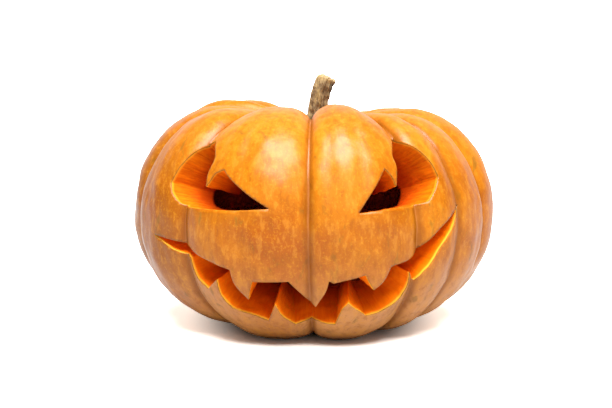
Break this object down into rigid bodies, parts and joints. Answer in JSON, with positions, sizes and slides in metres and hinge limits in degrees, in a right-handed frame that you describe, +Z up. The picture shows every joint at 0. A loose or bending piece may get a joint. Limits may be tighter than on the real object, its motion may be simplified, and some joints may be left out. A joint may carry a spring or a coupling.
{
  "type": "carved pumpkin lantern",
  "caption": "Squat ribbed pumpkin hollowed into a lantern, with two slanting cut-out eyes, a wide jagged mouth through its thick wall, and a short bent stem.",
  "frame": {"origin": "on the ground under the middle of the pumpkin", "axes": "+Z up along the stem; the carved face looks along -Y; +X to the right of someone who looks at the face"},
  "size_m": [0.3032, 0.299, 0.2083],
  "materials": {
    "pumpkin": null,
    "stem": "dry matt corky stalk with a paler cut end"
  },
  "bodies": {
    "root": {"shell": "pumpkin", "stem": "stem"}
  },
  "joints": []
}
